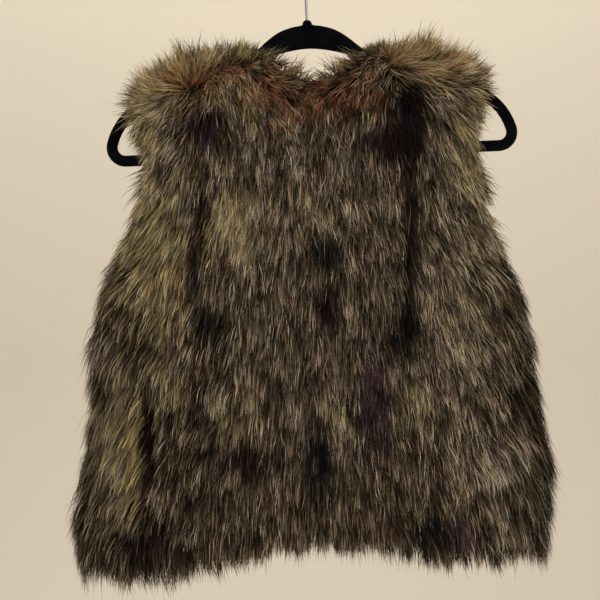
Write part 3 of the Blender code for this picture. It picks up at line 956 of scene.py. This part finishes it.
def pile(panel, inner, outer, out, look, seed):
    """All of a panel's strands, as one mesh of tapered ribbons."""
    rng = np.random.default_rng(seed)
    strand = STRANDS[panel.kind]
    base, middle = inner + out * CLOTH_THICK, (inner + outer) / 2
    deep = np.linalg.norm(outer - base, axis=-1, keepdims=True)
    ground = Ground(base, out, unit(np.gradient(middle, axis=1)), deep)
    columns, rows = inner.shape[:2]

    tufts = panel.strands // STRANDS_IN_TUFT
    count = tufts * STRANDS_IN_TUFT
    tuft = np.repeat(np.arange(tufts), STRANDS_IN_TUFT)
    tuft_u, tuft_v = tuft_places(rng, tufts, middle)
    wide = np.interp(tuft_v, np.arange(rows), steps_along(middle, 0).mean(axis=0))
    tall = steps_along(middle, 1).mean()
    spread = rng.normal(0, TUFT_SPREAD, (2, count))
    u = reflected(tuft_u[tuft] + spread[0] / wide[tuft], columns - 1)
    v = reflected(tuft_v[tuft] + spread[1] / tall, rows - 1)

    tuft_feet, feet = feet_at(ground, tuft_u, tuft_v), feet_at(ground, u, v)
    whole, wild = tuft_lay(rng, tuft_feet)
    pull = rng.uniform(*TUFT_PULLS, tufts)
    own = strand_lay(rng, Lay(*(value[tuft] for value in whole)), wild[tuft])
    path, tuft_path = paths(feet, own, strand.steps), paths(tuft_feet, whole, strand.steps)
    for k, s in enumerate(strand.steps):
        pulled = pull[tuft][:, None] * s**PULL_POWER
        path[:, k] += pulled * (tuft_path[tuft, k] - path[:, k])
    points = ribbons(rng, path, feet.away, strand)

    tip = (path[:, -1] + path[:, -2]) / 2
    x, z = tip[:, 0] - VEST_SIDE, tip[:, 2]
    tone = TONE_MIDDLE + summed(x, z, STREAKS) + rng.normal(0, TUFT_TONE, tufts)[tuft]
    tone = tone + rng.normal(0, STRAND_TONE, count)
    family, bright = tones(rng, x, z, tuft, tone, panel.name.startswith("front"))
    stretch = rng.uniform(*STRAND_STRETCHES, count)
    return strand_mesh(panel, points * MM, family, bright, stretch, look)


def strand_mesh(panel, points, family, bright, stretch, look):
    """The ribbons' mesh, with each one's tone and its root and tip on the map."""
    strand = STRANDS[panel.kind]
    count, each = points.shape[:2]
    bends = len(strand.tapers)
    corners = [2 * k + step for k in range(bends - 1) for step in (0, 1, 3, 2)]
    corners = np.array(corners + [each - 3, each - 2, each - 1])
    loops = (each * np.arange(count)[:, None] + corners).ravel()
    sizes = np.tile([4] * (bends - 1) + [3], count)
    starts = np.concatenate([[0], np.cumsum(sizes)[:-1]])
    data = bpy.data.meshes.new("fur_" + panel.name)
    data.vertices.add(each * count)
    data.vertices.foreach_set("co", points.ravel())
    data.loops.add(len(loops))
    data.loops.foreach_set("vertex_index", loops)
    data.polygons.add(bends * count)
    data.polygons.foreach_set("loop_start", starts)
    data.update(calc_edges=True)
    data.validate()
    wide = 1 / (len(FAMILIES) * TONE_STEPS)
    cell = (family * TONE_STEPS + np.floor(bright * TONE_STEPS)) * wide
    sides = np.array([*RIBBON_SIDES] * bends + [RIBBON_TIP]) * wide
    high = np.repeat(strand.steps, 2)[:each] * stretch[:, None]
    place = np.stack([cell[:, None] + sides, np.clip(high, *MAP_ENDS)], axis=-1)
    data.uv_layers.new(name="OFBake")
    data.uv_layers["OFBake"].data.foreach_set("uv", place[:, corners].ravel().astype(np.float32))
    data.shade_smooth()
    return new_object("fur_" + panel.name, data, look)


# Materials. A finish has the shader's values, and the noise that mixes its two colours.
Finish = namedtuple("Finish", "name values noise colours", defaults=(None, None))
Noise = namedtuple("Noise", "scale detail")
Relief = namedtuple("Relief", "strength distance")

FUR = Finish("long_pile", {"Roughness": 0.5, "Specular IOR Level": 0.05})
KNIT = Finish(
    "knit_backing",
    {"Roughness": 0.9, "Sheen Weight": 0.2},
    Noise(60, 2),
    [(0.3, (0.016, 0.012, 0.010)), (0.75, (0.040, 0.030, 0.024))],
)
KNIT_ROWS = {"Scale": 160, "Distortion": 1.5}
KNIT_RELIEF = Relief(0.5, 0.0006)
FLOCK = Finish(
    "velvet_flock",
    {
        "Roughness": 0.95,
        "Sheen Weight": 0.03,
        "Sheen Roughness": 0.35,
        "Specular IOR Level": 0.06,
    },
    Noise(35, 3),
    [(0.35, (0.002, 0.002, 0.0035)), (0.7, (0.005, 0.0052, 0.008))],
)
FLOCK_FIBRES = Noise(2600, 1)
FLOCK_RELIEF = Relief(0.6, 0.0003)
STEEL = Finish(
    "bright_steel",
    {"Roughness": 0.22, "Metallic": 1.0},
    Noise(900, 3),
    [(0.3, (0.50, 0.50, 0.52)), (0.7, (0.66, 0.66, 0.68))],
)
STEEL_RELIEF = Relief(0.08, 0.0002)
BACKDROP = Finish(
    "pale_backdrop",
    {"Roughness": 0.95, "Specular IOR Level": 0.1},
    Noise(0.6, 1),
    [(0.3, (0.71, 0.655, 0.565)), (0.7, (0.74, 0.685, 0.595))],
)


def set_values(node, values):
    for name, value in values.items():
        node.inputs[name].default_value = value


def ramp(nodes, stops, interpolation="LINEAR"):
    node = nodes.new("ShaderNodeValToRGB")
    node.color_ramp.interpolation = interpolation
    elements = node.color_ramp.elements
    while len(elements) < len(stops):
        elements.new(1.0)
    for element, (place, colour) in zip(elements, stops):
        element.position = place
        element.color = (*colour, 1)
    return node


def add_noise(nodes, links, noise):
    place = nodes.new("ShaderNodeTexCoord")
    node = nodes.new("ShaderNodeTexNoise")
    set_values(node, {"Scale": noise.scale, "Detail": noise.detail})
    links.new(place.outputs["Object"], node.inputs["Vector"])
    return node


def add_relief(nodes, links, source, shader, relief):
    node = nodes.new("ShaderNodeBump")
    set_values(node, {"Strength": relief.strength, "Distance": relief.distance})
    links.new(source, node.inputs["Height"])
    links.new(node.outputs[0], shader.inputs["Normal"])


def new_material(finish):
    """A material with its nodes, its shader and the noise that mixes its colours."""
    made = bpy.data.materials.new(finish.name)
    made.use_nodes = True
    nodes, links = made.node_tree.nodes, made.node_tree.links
    shader = nodes["Principled BSDF"]
    set_values(shader, finish.values)
    mottled = None
    if finish.noise:
        mottled = add_noise(nodes, links, finish.noise)
        colour = ramp(nodes, finish.colours)
        links.new(mottled.outputs[0], colour.inputs[0])
        links.new(colour.outputs[0], shader.inputs["Base Color"])
    return made, nodes, links, shader, mottled


def calculated(nodes, links, operation, *values):
    """A node's result, where each value is a number or another node's output."""
    node = nodes.new("ShaderNodeMath")
    node.operation = operation
    for socket, value in zip(node.inputs, values):
        if isinstance(value, bpy.types.NodeSocket):
            links.new(value, socket)
        else:
            socket.default_value = value
    return node.outputs[0]


def fur_material():
    """The pile's colours: family and tone lie across the map, and root to tip lies along it."""
    made, nodes, links, shader, _ = new_material(FUR)
    place = nodes.new("ShaderNodeUVMap")
    place.uv_map = "OFBake"
    split = nodes.new("ShaderNodeSeparateXYZ")
    links.new(place.outputs[0], split.inputs[0])
    ends = []
    for end in ("root", "tip"):
        stops = [(k / len(FAMILIES), getattr(f, end)) for k, f in enumerate(FAMILIES)]
        node = ramp(nodes, stops, "CONSTANT")
        links.new(split.outputs[0], node.inputs[0])
        ends.append(node.outputs[0])
    at_family = calculated(nodes, links, "MULTIPLY", split.outputs[0], len(FAMILIES))
    tone = calculated(nodes, links, "FRACT", at_family)
    power = calculated(nodes, links, "POWER", TONE_RANGE, tone)
    bright = calculated(nodes, links, "MULTIPLY", power, DARKEST)
    grow = ramp(nodes, [(place, (share,) * 3) for place, share in ROOT_TO_TIP])
    links.new(split.outputs[1], grow.inputs[0])
    blend = nodes.new("ShaderNodeMix")
    blend.data_type = "RGBA"
    links.new(grow.outputs[0], blend.inputs["Factor"])
    links.new(ends[0], blend.inputs["A"])
    links.new(ends[1], blend.inputs["B"])
    scale = nodes.new("ShaderNodeVectorMath")
    scale.operation = "SCALE"
    links.new(blend.outputs["Result"], scale.inputs[0])
    links.new(bright, scale.inputs["Scale"])
    limit = nodes.new("ShaderNodeVectorMath")
    limit.operation = "MINIMUM"
    limit.inputs[1].default_value = BRIGHTEST
    links.new(scale.outputs[0], limit.inputs[0])
    links.new(limit.outputs[0], shader.inputs["Base Color"])
    return made


def cloth_material():
    """The dark knitted backing that the pile is worked into."""
    made, nodes, links, shader, _ = new_material(KNIT)
    place = nodes.new("ShaderNodeTexCoord")
    rows = nodes.new("ShaderNodeTexWave")
    rows.bands_direction = "Z"
    set_values(rows, KNIT_ROWS)
    links.new(place.outputs["Object"], rows.inputs["Vector"])
    add_relief(nodes, links, rows.outputs[1], shader, KNIT_RELIEF)
    return made


def flock_material():
    """Black velvet flock, with its nap rubbed here and there."""
    made, nodes, links, shader, _ = new_material(FLOCK)
    fibres = add_noise(nodes, links, FLOCK_FIBRES)
    add_relief(nodes, links, fibres.outputs[0], shader, FLOCK_RELIEF)
    return made


def steel_material():
    """Bright plated wire, with faint marks."""
    made, nodes, links, shader, mottled = new_material(STEEL)
    add_relief(nodes, links, mottled.outputs[0], shader, STEEL_RELIEF)
    return made


def set_material(node, made):
    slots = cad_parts[node].data.materials
    slots.clear()
    slots.append(made)


# The vest


def add_vest():
    fur, cloth = fur_material(), cloth_material()
    for k, panel in enumerate(PANELS):
        inner, outer = surface(panel)
        out = unit(outer - inner)
        sheet = backing(panel, inner, out, cloth)
        strands = pile(panel, inner, outer, out, fur, FIRST_SEED + k)
        for piece in (sheet, strands):
            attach(piece, "root")
        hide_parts(panel.name)


# The studio, in metres and watts
FLOOR_LEVEL, FLOOR_NEAR, FLOOR_FAR = -1.45, -6.0, 3.0
BEND_RADIUS, BEND_STEPS = 0.9, 10
BACKDROP_TOP, BACKDROP_HALF = 5.0, 7.0

Light = namedtuple("Light", "name place target size power colour")
VEST_MIDDLE = (0, 0, -0.35)
LIGHTS = [
    Light("key", (-0.5, -2.0, 1.8), VEST_MIDDLE, (1.6, 1.2), 44, (1.0, 0.95, 0.88)),
    Light("fill", (1.9, -2.2, 0.1), VEST_MIDDLE, (1.6, 1.6), 8, (0.95, 0.97, 1.0)),
    Light("behind", (-1.6, 1.8, 1.2), VEST_MIDDLE, (1.5, 1.5), 16, (1.0, 0.96, 0.9)),
    Light("backdrop_wash", (0, 1.4, 2.4), (0, 3.8, 1.0), (3.5, 0.8), 100, (1.0, 0.93, 0.82)),
]
AMBIENT_COLOUR, AMBIENT_STRENGTH = (0.95, 0.93, 0.90, 1), 0.26

CAMERA_PLACE = (-0.0049, -2.17, -0.3667)
CAMERA_TURN = (math.pi / 2, 0, 0)
CAMERA_LENS, CAMERA_NEAR = 120.0, 0.05


def add_stage():
    """The floor, which bends up into the wall behind."""
    profile = [(FLOOR_NEAR, FLOOR_LEVEL), (FLOOR_FAR, FLOOR_LEVEL)]
    for a in np.linspace(0, math.pi / 2, BEND_STEPS)[1:]:
        rise = BEND_RADIUS * (1 - math.cos(a))
        profile.append((FLOOR_FAR + BEND_RADIUS * math.sin(a), FLOOR_LEVEL + rise))
    profile.append((FLOOR_FAR + BEND_RADIUS, BACKDROP_TOP))
    points = [(x, y, z) for y, z in profile for x in (-BACKDROP_HALF, BACKDROP_HALF)]
    faces = [(2 * i, 2 * i + 1, 2 * i + 3, 2 * i + 2) for i in range(len(profile) - 1)]
    data = bpy.data.meshes.new("backdrop")
    data.from_pydata(points, [], faces)
    data.shade_smooth()
    new_object("backdrop", data, new_material(BACKDROP)[0])


def add_lights():
    for light in LIGHTS:
        data = bpy.data.lights.new(light.name, "AREA")
        data.shape = "RECTANGLE"
        data.size, data.size_y = light.size
        data.energy = light.power
        data.color = light.colour
        lamp = bpy.data.objects.new(light.name, data)
        lamp.location = light.place
        facing = Vector(light.target) - Vector(light.place)
        lamp.rotation_euler = facing.to_track_quat("-Z", "Y").to_euler()
        bpy.context.scene.collection.objects.link(lamp)
    world = bpy.data.worlds.new("studio")
    world.use_nodes = True
    values = {"Color": AMBIENT_COLOUR, "Strength": AMBIENT_STRENGTH}
    set_values(world.node_tree.nodes["Background"], values)
    bpy.context.scene.world = world


def add_camera():
    data = bpy.data.cameras.new("camera")
    data.lens = CAMERA_LENS
    data.clip_start = CAMERA_NEAR
    camera = bpy.data.objects.new("camera", data)
    camera.location = CAMERA_PLACE
    camera.rotation_euler = CAMERA_TURN
    bpy.context.scene.collection.objects.link(camera)
    bpy.context.scene.camera = camera


add_vest()
set_material("hanger_body", flock_material())
set_material("hanger_hook", steel_material())
add_stage()
add_lights()
add_camera()
bpy.context.scene.view_settings.view_transform = "Standard"
